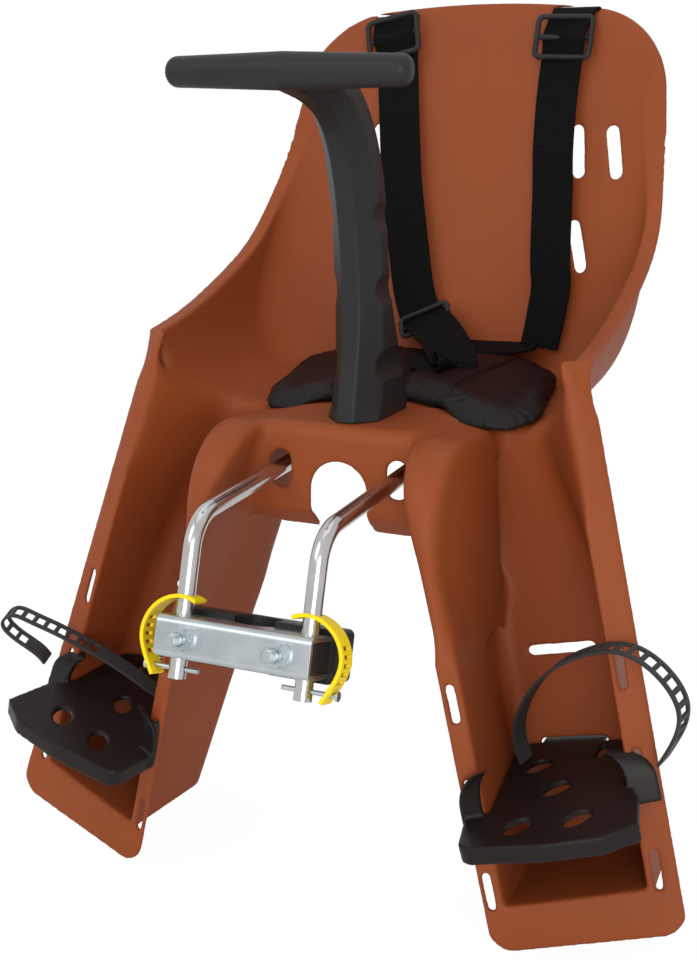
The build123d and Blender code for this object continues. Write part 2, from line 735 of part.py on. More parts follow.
# Bolts from behind, each with a washer and a nut in front
clamp_bolts = []
clamp_washers = []
clamp_nuts = []
for side in (-1, 1):
    across = side * bolt_half_span
    with BuildPart() as clamp_bolt:
        with BuildSketch(stem_face.offset(-plate_back - channel_sheet)):
            with Locations((across, 0)):
                RegularPolygon(bolt_head[0], 6, major_radius=False)
        extrude(amount=-bolt_head[1])
        with BuildSketch(stem_face.offset(-plate_back - channel_sheet)):
            with Locations((across, 0)):
                Circle(bolt_radius)
        extrude(amount=plate_back + channel_sheet + bolt_tip)
        chamfer(edges().filter_by(GeomType.CIRCLE).group_by(Axis((0, 0, 0), stem_plane.y_dir))[0], 0.8)
    clamp_bolts.append(clamp_bolt)
    with BuildPart() as clamp_washer:
        with BuildSketch(stem_face.offset(channel_front)):
            with Locations((across, 0)):
                Circle(washer_radius)
                Circle(bolt_radius + clearance, mode=Mode.SUBTRACT)
        extrude(amount=washer_thick)
    clamp_washers.append(clamp_washer)
    with BuildPart() as clamp_nut:
        with BuildSketch(stem_face.offset(channel_front + washer_thick)):
            with Locations((across, 0)):
                RegularPolygon(nut_across / 2, 6, major_radius=False)
                Circle(bolt_radius + clearance / 2, mode=Mode.SUBTRACT)
        extrude(amount=nut_thick)
    clamp_nuts.append(clamp_nut)

# Left safety pin through the rod's end, and the slotted band that hooks over it
with BuildPart() as safety_pin:
    with BuildSketch(stem_side.offset(pin_reach[0])):
        with Locations((-rod_forward, -pin_drop)):
            Circle(pin_radius)
    extrude(amount=pin_reach[1] - pin_reach[0])
    with BuildSketch(stem_side.offset(pin_reach[1])):
        with Locations((-rod_forward, -pin_drop)):
            Circle(2 * pin_radius)
    extrude(amount=pin_radius)

with BuildPart() as safety_strap:
    add(band(rod_face, safety_path, safety_band[1], safety_band[0]))
    with BuildSketch(stem_side):
        with Locations((-rod_forward, safety_path[3][1])):
            with GridLocations(0, safety_hole_pitch, 1, safety_holes):
                Rectangle(*safety_hole)
        with Locations((-rod_forward, -pin_drop)):
            Circle(pin_radius + clearance)
    extrude(amount=far, mode=Mode.SUBTRACT)
    add(rod_bores.part, mode=Mode.SUBTRACT)

# Left footrest: a plate fitted in the channel, ears against the flange and hooks through its slots
rest_inside = pushed_out(leg_corners(rest_station), -rest_gap)
rest_slot = slot_top + slot_pitch
rest_in = at(inner_rim_top, inner_rim_end, rest_slot)
rest_out = at(outer_rim_top, outer_rim_end, rest_slot)
rest_across = (rest_out - rest_in).normalized()
rest_ahead = Vector(rest_across.Y, -rest_across.X) * (rest_gap / 2)
rest_corners = [rest_in + rest_ahead, rest_in + rest_ahead + rest_across * (inner_flange + 1)]

with BuildPart() as footrest:
    with BuildSketch(rest_plane):
        with BuildLine():
            FilletPolyline(*rest_inside, radius=[inner_corner_radius, outer_corner_radius])
            Polyline(rest_inside[-1], rest_front[0], rest_front[1])
            FilletPolyline(*rest_front[1:], rest_corners[0], radius=rest_front_radius)
            Polyline(*rest_corners, rest_inside[0])
        make_face()
        with Locations(rest_holes):
            Ellipse(rest_hole_size[0] / 2, rest_hole_size[1] / 2, rotation=rest_hole_turn, mode=Mode.SUBTRACT)
        with Locations((back_slot_middle, rest_back + wall + tab_reach)):
            Rectangle(back_slot_size[0] - 2 * rest_gap, 40, align=(Align.CENTER, Align.MAX))
    extrude(amount=-rest_thick)
    # Rolled lip under the front edge
    with BuildSketch(rest_plane):
        with BuildLine():
            FilletPolyline(*rest_front[1:], rest_corners[0], radius=rest_front_radius)
            offset(amount=rest_lip[1], side=Side.RIGHT)
        make_face()
    extrude(amount=-rest_lip[0])
    for rim_top, rim_end, ear, inset in (
        (inner_rim_top, inner_rim_end, inner_ear, slot_inset),
        (outer_rim_top, outer_rim_end, outer_ear, -outer_slot_inset),
    ):
        with BuildSketch(flange_plane(rim_top, rim_end, rest_slot).offset(3 * clearance)):
            with Locations((inset, -ear_base)):
                Rectangle(*ear, align=(Align.CENTER, Align.MIN))
        extrude(amount=ear_thick)
        rim = at(rim_top, rim_end, rest_slot)
        front = rim.Y + inset * rest_across.Y / rest_across.X - ear_thick / 2
        with BuildSketch(leg_face.offset(-front)):
            with Locations((rim.X + inset, -rest_slot)):
                Rectangle(*hook_size)
        extrude(amount=-ear_thick / 2 - lip_wall - hook_reach)

# Foot straps: slotted bands from the rear of the rest, across the foot and back to the outer rim
foot_straps = []
for path, forward in ((strap_path, 0.0), (low_strap_path, low_strap_forward)):
    plane = Plane(strap_plane.origin - leg.y_dir * forward, strap_plane.x_dir, strap_plane.z_dir)
    with BuildPart() as foot_strap:
        add(band(plane, path, strap_band[1], strap_band[0]))
        add(ladder(plane, path, strap_hole, strap_hole_pitch, *strap_hole_range), mode=Mode.SUBTRACT)
    foot_straps.append(foot_strap)

# Cushion: a pad on the pan with two lobes in front, cut to the bucket's floor and to the saddle
with BuildPart() as cushion_room:
    loft(bucket_loft(-2 * clearance, -clearance))

with BuildPart() as seat_cushion:
    with BuildSketch(pan):
        with BuildLine():
            Spline(*cushion_outline)
            Line(cushion_outline[-1], cushion_outline[0])
        make_face()
        with BuildLine():
            Spline(*[(-x * cushion_right_share, y) for x, y in cushion_outline])
            Line(cushion_outline[-1], cushion_outline[0])
        make_face()
    extrude(amount=cushion_thick)
    add(cushion_room.part, mode=Mode.INTERSECT)
    with BuildSketch(seat_side):
        low, top = saddle_profile[:2]
        Polygon((low[0], low[1] + clearance), (top[0], top[1] + clearance), (-far, top[1] + clearance),
                (-far, -far), (low[0], -far), align=None)
    extrude(amount=far, both=True, mode=Mode.SUBTRACT)

# Harness: two shoulder belts with slides, the lap belt, and the adjuster with its folded tail
with BuildPart() as slide:
    with BuildSketch():
        RectangleRounded(slide_size[0], slide_size[1], 4)
        with GridLocations(0, slide_pitch, 1, 2):
            Rectangle(*slide_slot, mode=Mode.SUBTRACT)
    extrude(amount=slide_size[2])
    fillet(edges().group_by(Axis.Z)[-1], 0.8)

hangs = []
belts = []
for across, height, lean in belt_tops:
    hang = Plane(place(across, 0, height), (0, 1, 0), (cos(radians(lean)), 0, sin(radians(lean))))
    with BuildPart() as shoulder_belt:
        add(band(hang, belt_path, belt[1], belt[0]))
    hangs.append(hang)
    belts.append(shoulder_belt)

slides = []
for hang, seat in ((hangs[0], slide_place), (hangs[1], slide_place), (hangs[1], adjuster_place)):
    along, drop, tip = seat
    forward = hang.x_dir * -cos(radians(tip)) + hang.y_dir * sin(radians(tip))
    face = Plane(hang.from_local_coords(Vector(along, drop, 0)), hang.z_dir, forward)
    with BuildPart() as belt_slide:
        add(face.location * slide.part)
    slides.append(belt_slide)

with BuildPart() as lap_strap:
    with BuildSketch(pan.offset(cushion_thick + clearance)):
        with Locations(((lap_belt[0] + lap_belt[1]) / 2, lap_belt[2])):
            Rectangle(lap_belt[1] - lap_belt[0], belt[0])
    extrude(amount=belt[1])

with BuildPart() as strap_tail:
    add(band(pan_side, tail_path, belt[1], belt[0]))

# Export, one file for each piece
pieces = {
    "seat_shell": seat_shell.part,
    "seat_cushion": seat_cushion.part,
    "grip_handle": grip_handle.part,
    "grip_screw_front": grip_screws[0].part,
    "grip_screw_rear": grip_screws[1].part,
    "mounting_bow": mounting_bow.part,
    "bow_bracket_front": brackets[0].part,
    "bow_bracket_rear": brackets[1].part,
    "clamp_front_channel": clamp_front_channel.part,
    "clamp_front_block": clamp_front_block.part,
    "clamp_rear_block": clamp_rear_block.part,
    "clamp_rear_plate": clamp_rear_plate.part,
    "shoulder_belt_left": belts[0].part,
    "shoulder_belt_right": belts[1].part,
    "belt_slide_left": slides[0].part,
    "belt_slide_right": slides[1].part,
    "belt_adjuster": slides[2].part,
    "lap_belt": lap_strap.part,
    "belt_tail": strap_tail.part,
}
for number, bracket_screw in enumerate(bracket_screws):
    pieces[f"bracket_screw_{number + 1}"] = bracket_screw.part
for number, side in enumerate(("right", "left")):
    pieces[f"clamp_bolt_{side}"] = clamp_bolts[number].part
    pieces[f"clamp_washer_{side}"] = clamp_washers[number].part
    pieces[f"clamp_nut_{side}"] = clamp_nuts[number].part
for name, piece in (("safety_pin", safety_pin), ("safety_strap", safety_strap), ("footrest", footrest)):
    pieces[f"{name}_left"] = piece.part
    pieces[f"{name}_right"] = piece.part.mirror(Plane.YZ)
pieces["foot_strap_left"] = foot_straps[0].part
pieces["foot_strap_right"] = foot_straps[1].part.mirror(Plane.YZ)

os.makedirs("parts", exist_ok=True)
for name, piece in pieces.items():
    piece.label = name
    export_step(piece, f"parts/{name}.step")
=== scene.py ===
"""Dressed model of a front-mounted child seat for a bicycle, in metres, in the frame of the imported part."""

from math import cos, exp, pi, radians, sin

import bmesh
import bpy
from mathutils import Matrix, Vector
from mathutils.geometry import interpolate_bezier
from mathutils.kdtree import KDTree


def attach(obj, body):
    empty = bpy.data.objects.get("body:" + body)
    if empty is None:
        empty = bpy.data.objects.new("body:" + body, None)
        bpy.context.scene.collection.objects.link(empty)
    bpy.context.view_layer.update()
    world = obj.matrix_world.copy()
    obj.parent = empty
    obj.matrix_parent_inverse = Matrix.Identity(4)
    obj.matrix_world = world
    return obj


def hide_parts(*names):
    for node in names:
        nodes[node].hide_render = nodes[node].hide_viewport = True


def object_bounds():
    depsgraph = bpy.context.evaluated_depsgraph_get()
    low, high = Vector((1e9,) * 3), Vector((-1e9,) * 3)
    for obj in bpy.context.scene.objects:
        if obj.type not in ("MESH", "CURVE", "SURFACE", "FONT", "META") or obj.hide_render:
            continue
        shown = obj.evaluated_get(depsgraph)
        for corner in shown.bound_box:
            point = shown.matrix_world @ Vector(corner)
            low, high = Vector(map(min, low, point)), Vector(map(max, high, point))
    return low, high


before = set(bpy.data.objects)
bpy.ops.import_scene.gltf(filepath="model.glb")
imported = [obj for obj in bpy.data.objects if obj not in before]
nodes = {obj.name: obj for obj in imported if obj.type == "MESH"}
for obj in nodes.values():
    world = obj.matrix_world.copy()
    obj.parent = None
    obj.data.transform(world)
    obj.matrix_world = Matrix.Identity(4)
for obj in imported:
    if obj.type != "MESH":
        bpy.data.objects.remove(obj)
cad_box = [list(corner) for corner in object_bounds()]


# Seat shell: one moulding of terracotta-coloured plastic with a fine matte grain.
# The bucket, the leg guards and the saddle between them are a single wall with turned-out rims.
# Every other piece is screwed, hooked or laid on it.
class Signal:
    """A socket of a material's node tree that can stand in a sum."""

    def __init__(self, tree, socket=None):
        self.tree = tree
        self.socket = socket

    def node(self, kind, settings=None, inputs=None, output=0):
        """Adds a node, sets it up, fills its sockets and returns one of its outputs."""
        made = self.tree.nodes.new(kind)
        for key, value in (settings or {}).items():
            setattr(made, key, value)
        for key, value in (inputs or {}).items():
            if isinstance(value, Signal):
                self.tree.links.new(value.socket, made.inputs[key])
            else:
                made.inputs[key].default_value = value
        return Signal(self.tree, made.outputs[output])

    def maths(self, operation, other):
        """This socket's value and another, put together by an operation."""
        return self.node("ShaderNodeMath", {"operation": operation}, {0: self, 1: other})

    def __add__(self, other):
        return self.maths("ADD", other)

    __radd__ = __add__

    def __sub__(self, other):
        return self.maths("SUBTRACT", other)

    def __mul__(self, other):
        return self.maths("MULTIPLY", other)

    __rmul__ = __mul__

    def feeds(self, shader, name):
        """Links this socket to one of the shader's."""
        self.tree.links.new(self.socket, shader.inputs[name])


def new_finish(name, roughness, metallic=0.0):
    """A material with its shader, and a signal of the object's own coordinates in metres."""
    material = bpy.data.materials.new(name)
    material.use_nodes = True
    tree = material.node_tree
    shader = tree.nodes["Principled BSDF"]
    shader.inputs["Roughness"].default_value = roughness
    shader.inputs["Metallic"].default_value = metallic
    shader.inputs["Specular IOR Level"].default_value = 0.5 if metallic else 0.2
    place = Signal(tree).node("ShaderNodeTexCoord", output="Object")
    return material, shader, place


def mixed(place, mask, dark, light):
    """A colour between two, by a mask. Each of the two is three numbers or a signal."""
    factor, first, second, result = 0, 6, 7, 2
    dark, light = (colour if isinstance(colour, Signal) else (*colour, 1) for colour in (dark, light))
    return place.node("ShaderNodeMix", {"data_type": "RGBA"}, {factor: mask, first: dark, second: light}, result)


def noise(place, scale, detail=3.0):
    """Smooth random values over the surface."""
    return place.node("ShaderNodeTexNoise", None, {"Vector": place, "Scale": scale, "Detail": detail,
                                                   "Roughness": 0.5})


def bumped(place, height, distance, edge=0.0012):
    """Small relief on the surface, over edges that look softened."""
    soft = place.node("ShaderNodeBevel", {"samples": 4}, {"Radius": edge})
    return place.node("ShaderNodeBump", None, {"Strength": 1.0, "Distance": distance, "Height": height,
                                               "Normal": soft})


def moulded(name, dark, light, roughness, grain):
    """Moulded plastic: a slow drift of colour, a fine grain and uneven gloss."""
    material, shader, place = new_finish(name, roughness)
    drift = noise(place, scale=9.0)
    grit = noise(place, scale=1400.0, detail=2.0)
    mixed(place, drift, dark, light).feeds(shader, "Base Color")
    (roughness - 0.06 + 0.10 * drift + 0.05 * grit).feeds(shader, "Roughness")
    bumped(place, grit, grain).feeds(shader, "Normal")
    return material


def finish_nodes(material, *names):
    """Gives CAD nodes a finish."""
    for name in names:
        nodes[name].data.materials.clear()
        nodes[name].data.materials.append(material)


def meshed(piece):
    """A new mesh of a piece as its modifiers or its curve make it."""
    return bpy.data.meshes.new_from_object(piece.evaluated_get(bpy.context.evaluated_depsgraph_get()))


def baked(piece):
    """The piece with its modifiers worked into its mesh."""
    mesh = meshed(piece)
    piece.modifiers.clear()
    piece.data = mesh
    return piece


def placed(name, data):
    """A new object of a mesh or curve, in the scene."""
    piece = bpy.data.objects.new(name, data)
    bpy.context.collection.objects.link(piece)
    return piece


def shaded_smooth(piece):
    """The piece with its faces shaded as one rounded surface."""
    piece.data.polygons.foreach_set("use_smooth", [True] * len(piece.data.polygons))
    return piece


def copied(name, node):
    """A new piece with a CAD node's mesh, its triangles joined."""
    piece = placed(name, nodes[node].data.copy())
    joined = bmesh.new()
    joined.from_mesh(piece.data)
    bmesh.ops.remove_doubles(joined, verts=joined.verts, dist=0.000001)
    joined.to_mesh(piece.data)
    joined.free()
    return piece


def lofted(form, sections):
    """Adds a closed body to a form, through matching sections in millimetres from the seat's zero."""
    rings = [[form.verts.new(seat_zero + Vector(spot) / 1000) for spot in section] for section in sections]
    faces = [form.faces.new(rings[0]), form.faces.new(rings[-1])]
    for ring, after in zip(rings, rings[1:]):
        for number in range(len(ring)):
            faces.append(form.faces.new((ring[number - 1], ring[number], after[number], after[number - 1])))
    bmesh.ops.recalc_face_normals(form, faces=faces)


def cut(piece, *sections):
    """Takes a lofted body out of a piece."""
    form = bmesh.new()
    lofted(form, sections)
    mesh = bpy.data.meshes.new("cutter")
    form.to_mesh(mesh)
    form.free()
    cutter = placed("cutter", mesh)
    piece.modifiers.new("cut", "BOOLEAN").object = cutter
    baked(piece)
    bpy.data.objects.remove(cutter)


def near(value, low, high, soft):
    """One between two bounds, falling to nothing over a soft margin outside them."""
    return max(0.0, min(1.0, 1 - (low - value) / soft, 1 - (value - high) / soft))


def regrid(piece, grid):
    """Adds a modifier that covers a piece with even faces of one size."""
    even = piece.modifiers.new("even", "REMESH")
    even.mode = "VOXEL"
    even.voxel_size = grid


def soften(piece, rounds, group=""):
    """Adds a modifier that smooths a piece, or the part of it that a group of its vertices weighs."""
    softened = piece.modifiers.new("soften", "SMOOTH")
    softened.factor = 0.5
    softened.iterations = rounds
    softened.vertex_group = group


def evened(piece, grid, rounds):
    """The piece's wall in even small faces, with its edges rounded as a mould leaves them."""
    askew = Matrix.Rotation(radians(33), 4, "Y") @ Matrix.Rotation(radians(21), 4, "X")
    piece.data.transform(askew)
    regrid(piece, grid)
    soften(piece, rounds)
    baked(piece)
    piece.data.transform(askew.inverted())
    return piece


def dressed(piece, node, material, most):
    """The piece with no more than so many faces and its finish, in place of the node."""
    thinned = piece.modifiers.new("thin", "DECIMATE")
    thinned.ratio = min(1.0, most / len(piece.data.polygons))
    baked(piece)
    piece.data.materials.clear()
    piece.data.materials.append(material)
    shaded_smooth(piece)
    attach(piece, "root")
    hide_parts(node)


seat_zero = Vector((0, 0.1185, 0.0855))
terracotta = moulded("terracotta_moulding", dark=(0.236, 0.050, 0.0120), light=(0.292, 0.065, 0.0170),
                     roughness=0.52, grain=0.00006)
finish_nodes(terracotta, "seat_shell")
skin = copied("shell_skin", "seat_shell")

# The belts' slots, just below the top edge of the back.
slot_long, slot_high, slot_ends = 18.5, 2.2, (277, 297)
for across, height in ((70, 297.5), (-77, 294.5)):
    cut(skin, *([(across + right * slot_long, y, height + up * slot_high)
                 for right, up in ((-1, -1), (1, -1), (1, 1), (-1, 1))] for y in slot_ends))

# The shoulders between the saddle and the leg channels, where one wall flows into the other.
# A ledge of the bucket over each channel goes, and the shoulder and the bucket's corner beside it are filled.
bend_y, bend_z, bend_round = 2, -32, 55
shoulder = [(bend_y - bend_round * cos(radians(angle)), bend_z + bend_round * sin(radians(angle)))
            for angle in range(0, 91, 10)]
shoulder += [(40, 19.5), (55, 17), (68, 17.5), (68, -57), (66, -120), (-50, -120), (-53, -57)]
ledge_inside, ledge_top, ledge_foot = 84, 45, -10
ledge_run = ((24, 140, 152), (40, 126, 147), (55, 116, 138.5), (64, 106, 130))
wall_side, wall_level, wall_lean = 61.5, 9, 0.277
tuck, skirt, flare, flare_foot, flare_height, flare_power = 4.5, 1.5, 30, 120, 144, 1.6
pan_front, pan_level, pan_fall = 30, 23.0, 0.05
for side in (-1, 1):
    cut(skin, *([(side * ledge_inside, y, ledge_top), (side * upper, y, ledge_top),
                 (side * lower, y, ledge_foot), (side * ledge_inside, y, ledge_foot)]
                for y, upper, lower in ledge_run))
    filled = bmesh.new()
    filled.from_mesh(skin.data)
    inner, outer = [], []
    for y, z in shoulder:
        wall = wall_side + wall_lean * (wall_level - z)
        over_pan = y > pan_front and z > 0
        inner.append((side * (wall - tuck * near(z, -5, 30, 30)), y,
                      max(z, pan_level - pan_fall * (y - pan_front)) if over_pan else z))
        spread = flare * ((z + flare_foot) / flare_height) ** flare_power
        outer.append((side * (wall + skirt + spread), y, z))
    lofted(filled, [inner, outer])
    lofted(filled, [[(side * x, y, z) for x, y in ((low, 33), (151, 33), (152, 18), (low + 2, 18))]
                    for low, z in ((141, 42), (145, 68))])
    filled.to_mesh(skin.data)
    filled.free()
evened(skin, grid=0.0012, rounds=24)
blend = skin.vertex_groups.new(name="blend")
inner_wall = 0.0640
for vertex in skin.data.vertices:
    spot = vertex.co - seat_zero
    weight = near(abs(spot.x), 0.055, 0.160, 0.007) * near(spot.y, -0.070, 0.085, 0.020)
    weight *= near(spot.z, -0.088, 0.046, 0.020)
    beyond = abs(spot.x) - inner_wall + wall_lean * spot.z
    beside = near(spot.y, -0.030, 0.048, 0.010) * near(spot.z, -0.135, -0.050, 0.020)
    weight = max(weight, beside * near(beyond, -0.006, 0.020, 0.006))
    if weight > 0:
        blend.add([vertex.index], weight, "REPLACE")
soften(skin, rounds=320, group="blend")
dressed(skin, "seat_shell", terracotta, most=95000)

# Grip, footrests and clamp blocks: black moulded plastic, screwed or hooked to the shell.
# Their faces are matte with a slight satin shine along the edges.
# Each footrest has two ears at its top, rounded here into wings.
black_plastic = moulded("black_moulding", dark=(0.016, 0.0155, 0.016), light=(0.026, 0.025, 0.025),
                        roughness=0.40, grain=0.00008)
finish_nodes(black_plastic, "grip_handle", "clamp_front_block", "clamp_rear_block", "bow_bracket_front",
             "bow_bracket_rear", "belt_slide_left", "belt_slide_right", "belt_adjuster")
rest_plastic = moulded("footrest_moulding", dark=(0.007, 0.0045, 0.0045), light=(0.016, 0.011, 0.0105),
                       roughness=0.36, grain=0.0001)
finish_nodes(rest_plastic, "footrest_left", "footrest_right")
splay_cos, splay_sin = 0.9732, 0.2300
ear_foot, ear_parting, ear_narrowing, ear_power = 0.222, 0.115, 0.9, 2.4
for side in ("left", "right"):
    rest = evened(copied(f"rest_{side}", f"footrest_{side}"), grid=0.0010, rounds=8)
    for is_outer, ear_top in ((False, 0.196), (True, 0.202)):
        ear = []
        for vertex in rest.data.vertices:
            spot = vertex.co - seat_zero
            across = splay_cos * abs(spot.x) + splay_sin * spot.z
            down = splay_sin * abs(spot.x) - splay_cos * spot.z
            if down < ear_foot and (across >= ear_parting) == is_outer:
                ear.append((vertex, across, (ear_foot - down) / (ear_foot - ear_top)))
        centre = (min(across for _, across, _ in ear) + max(across for _, across, _ in ear)) / 2
        for vertex, across, height in ear:
            drawn = (centre - across) * (1 - (1 - ear_narrowing * min(1.0, height) ** ear_power) ** 0.5)
            vertex.co += Vector((splay_cos * drawn * (1 if vertex.co.x > 0 else -1), 0, splay_sin * drawn))
    dressed(rest, f"footrest_{side}", rest_plastic, most=24000)
grip = evened(copied("grip_moulding", "grip_handle"), grid=0.0009, rounds=4)
dressed(grip, "grip_handle", black_plastic, most=40000)

# Foot straps: soft black bands with a ladder of slots, hooked at the footrests.
# The rubber is smooth and a little greyer than the plastic. The right one is drawn in towards its root.
strap_rubber = moulded("strap_rubber", dark=(0.030, 0.030, 0.031), light=(0.045, 0.045, 0.045),
                       roughness=0.5, grain=0.00005)
finish_nodes(strap_rubber, "foot_strap_left", "foot_strap_right")
band = copied("strap_right", "foot_strap_right")
root = Vector((max(vertex.co.x for vertex in band.data.vertices), 0, 0))
drawn_in = Matrix.Diagonal((0.93, 1, 1, 1))
band.data.transform(Matrix.Translation(root) @ drawn_in @ Matrix.Translation(-root))
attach(band, "root")
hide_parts("foot_strap_right")

# Safety straps: bright yellow slotted bands that hook over the pins under the clamp.
# They are smooth mouldings with a clean gloss.
yellow = moulded("yellow_moulding", dark=(0.90, 0.62, 0.008), light=(0.96, 0.70, 0.010),
                 roughness=0.32, grain=0.00002)
finish_nodes(yellow, "safety_strap_left", "safety_strap_right")


# Bow: one round steel rod, bent twice on each side and bright plated, held under the pan by two brackets.
# The plating shows faint draw lines and small changes of gloss.
def plated(name, dark, light, roughness):
    """Plated steel: cloudy tone, fine scratches and uneven gloss."""
    material, shader, place = new_finish(name, roughness, metallic=1.0)
    cloud = noise(place, scale=60.0, detail=4.0)
    scratch = noise(place, scale=700.0, detail=2.0)
    mixed(place, cloud, dark, light).feeds(shader, "Base Color")
    (roughness - 0.08 + 0.12 * cloud + 0.08 * scratch).feeds(shader, "Roughness")
    bumped(place, scratch, distance=0.00001, edge=0.0006).feeds(shader, "Normal")
    return material


bright_plate = plated("bright_plated_rod", dark=(0.50, 0.49, 0.49), light=(0.72, 0.71, 0.71), roughness=0.16)
finish_nodes(bright_plate, "mounting_bow")

# Clamp channel, plate, bolts and pins: zinc-plated steel, duller than the rod.
# The zinc is bluish with soft clouds. The bolts draw channel and plate together round the stem.
zinc = plated("zinc_plate", dark=(0.42, 0.47, 0.49), light=(0.62, 0.67, 0.69), roughness=0.30)
fasteners = [name for name in nodes if name.startswith(("clamp_bolt", "clamp_washer", "clamp_nut", "safety_pin",
                                                        "grip_screw", "bracket_screw"))]
finish_nodes(zinc, "clamp_front_channel", "clamp_rear_plate", *fasteners)

# Cushion: a thin quilted pad with two lobes in front, in a dark satin cover gathered along its edge.
# It lies loose on the pan and over the rear of the saddle, sewn through along a middle seam and one on each side.
pan_frame = Matrix.Translation(seat_zero + Vector((0, 0, 0.011))) @ Matrix.Rotation(radians(6.3), 4, "X")
pad_outline = [(0, 0.097), (0.014, 0.094), (0.034, 0.085), (0.049, 0.070), (0.064, 0.060), (0.080, 0.055),
               (0.100, 0.056), (0.112, 0.066), (0.117, 0.082), (0.116, 0.105), (0.111, 0.136), (0.106, 0.165),
               (0.090, 0.194), (0.060, 0.207), (0, 0.213)]
pad_middle = Vector((0, 0.150, 0))
pad_thick, pad_edge, pad_roll, pad_rings, pad_gap = 0.0095, 0.0050, 0.016, 28, 0.0006
saddle_top, saddle_back, saddle_side = 0.024, 0.090, 0.066
pan_drop, pan_slope = 0.0105, 0.1104


def smooth_run(points, steps):
    """Points along a smooth curve through the given ones."""
    ends = [points[0] * 2 - points[1], *points, points[-1] * 2 - points[-2]]
    run = []
    for before, start, end, after in zip(ends, ends[1:], ends[2:], ends[3:]):
        leaving, arriving = start + (end - before) / 6, end - (after - start) / 6
        run += interpolate_bezier(start, leaving, arriving, end, steps + 1)[:-1]
    return run + [points[-1]]


def new_piece(name, points, faces, material):
    """A piece of the seat with its finish, shaded smooth, that rides on the one body."""
    mesh = bpy.data.meshes.new(name)
    mesh.from_pydata(points, [], faces)
    mesh.materials.append(material)
    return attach(shaded_smooth(placed(name, mesh)), "root")


def pad_base(spot):
    """Height of what the cushion lies on: the pan, and the rear of the saddle in the middle."""
    beside = min(1.0, max(0.0, (saddle_side - abs(spot.x)) / 0.016))
    before = min(1.0, max(0.0, (saddle_back - spot.y) / 0.010))
    return pad_gap + beside * before * max(0.0, saddle_top - pan_drop - pan_slope * spot.y)


def right_share(along):
    """How far the half on the child's right is drawn in, less towards the back."""
    return 0.82 + 0.14 * near(along, 0.150, 0.300, 0.080)


def seam_side(along):
    """How far the side seams lie from the middle one."""
    return 0.055 + 0.25 * (along - 0.15)


pad_half = smooth_run([Vector((x, y, 0)) for x, y in pad_outline], 10)
pad_rim = pad_half + [Vector((-right_share(spot.y) * spot.x, spot.y, 0)) for spot in reversed(pad_half[1:-1])]
around = len(pad_rim)
pad_points = []
pad_faces = []
for layer in (1, 0):
    for ring in range(pad_rings):
        share = (1 - ring / pad_rings) ** 1.4
        for edge in pad_rim:
            spot = pad_middle + (edge - pad_middle) * share
            rolled = 1 - exp((share - 1) * (edge - pad_middle).length / pad_roll)
            crown = pad_edge + (pad_thick - pad_edge) * rolled
            pad_points.append(pan_frame @ Vector((spot.x, spot.y, pad_base(spot) + layer * crown)))
    pad_points.append(pan_frame @ Vector((pad_middle.x, pad_middle.y, pad_base(pad_middle) + layer * pad_thick)))
sheet_size = around * pad_rings + 1
for layer, first in enumerate((0, sheet_size)):
    for ring in range(pad_rings):
        for number in range(around):
            here = first + ring * around + number
            beside = first + ring * around + (number + 1) % around
            inner = (first + sheet_size - 1,) if ring == pad_rings - 1 else (beside + around, here + around)
            pad_faces.append((here, beside, *inner) if layer else (beside, here, *reversed(inner)))
for number in range(around):
    beside = (number + 1) % around
    pad_faces.append((number, beside, sheet_size + beside, sheet_size + number))


def woven(place, kind, scale, distortion=0.0):
    """Even ridges along one of two directions of a cloth."""
    return place.node("ShaderNodeTexWave", {"bands_direction": kind},
                      {"Vector": place, "Scale": scale, "Distortion": distortion})


def cover_finish():
    """Satin cover cloth: a fine cross weave, reddish black on the flat; the gathered band at the front is shinier,
    and greyer from a painted sheen.
    """
    material, shader, place = new_finish("cushion_cover", 0.36)
    shader.inputs["Specular IOR Level"].default_value = 0.14
    # The band weight lowers the roughness, which is real gloss, and also lays a painted sheen into the colour of the
    # front edge.
    gloss_and_painted_sheen = place.node("ShaderNodeAttribute", {"attribute_name": "band"}, output="Fac")
    cloud = noise(place, scale=26.0, detail=4.0)
    warp, weft = woven(place, "X", 420.0), woven(place, "Y", 420.0)
    flat_cloth = mixed(place, cloud, (0.007, 0.0012, 0.0012), (0.015, 0.0028, 0.0028))
    # The greyer band colour is painted sheen: a highlight of the front gathered edge put into the base colour.
    painted_sheen_cloth = mixed(place, cloud, (0.010, 0.0095, 0.0095), (0.020, 0.019, 0.019))
    mixed(place, gloss_and_painted_sheen, flat_cloth, painted_sheen_cloth).feeds(shader, "Base Color")
    (0.36 + 0.14 * cloud + 0.05 * warp - 0.10 * gloss_and_painted_sheen).feeds(shader, "Roughness")
    bumped(place, warp * weft + 0.4 * cloud, distance=0.00018, edge=0.0008).feeds(shader, "Normal")
    return material


cushion = new_piece("cushion_pad", pad_points, pad_faces, cover_finish())
turned = bmesh.new()
turned.from_mesh(cushion.data)
bmesh.ops.recalc_face_normals(turned, faces=turned.faces)
turned.to_mesh(cushion.data)
turned.free()
regrid(cushion, 0.004)
baked(cushion)
stuffing_frames, most_swell = 20, 0.006
flat = [vertex.co.copy() for vertex in cushion.data.vertices]
stuffed = cushion.modifiers.new("stuffing", "CLOTH")
stuffed.settings.use_pressure = True
stuffed.settings.uniform_pressure_force = 4.0
stuffed.settings.effector_weights.gravity = 0
for step in range(1, stuffing_frames + 1):
    bpy.context.scene.frame_set(step)
baked(cushion)
bpy.context.scene.frame_set(1)
for vertex, start in zip(cushion.data.vertices, flat):
    moved = vertex.co - start
    vertex.co = start + moved * min(1.0, most_swell / max(moved.length, 1e-6))
finer = cushion.modifiers.new("finer", "SUBSURF")
finer.levels = finer.render_levels = 2
shaded_smooth(baked(cushion))
rim_tree = KDTree(around)
rim_walk = [0.0]
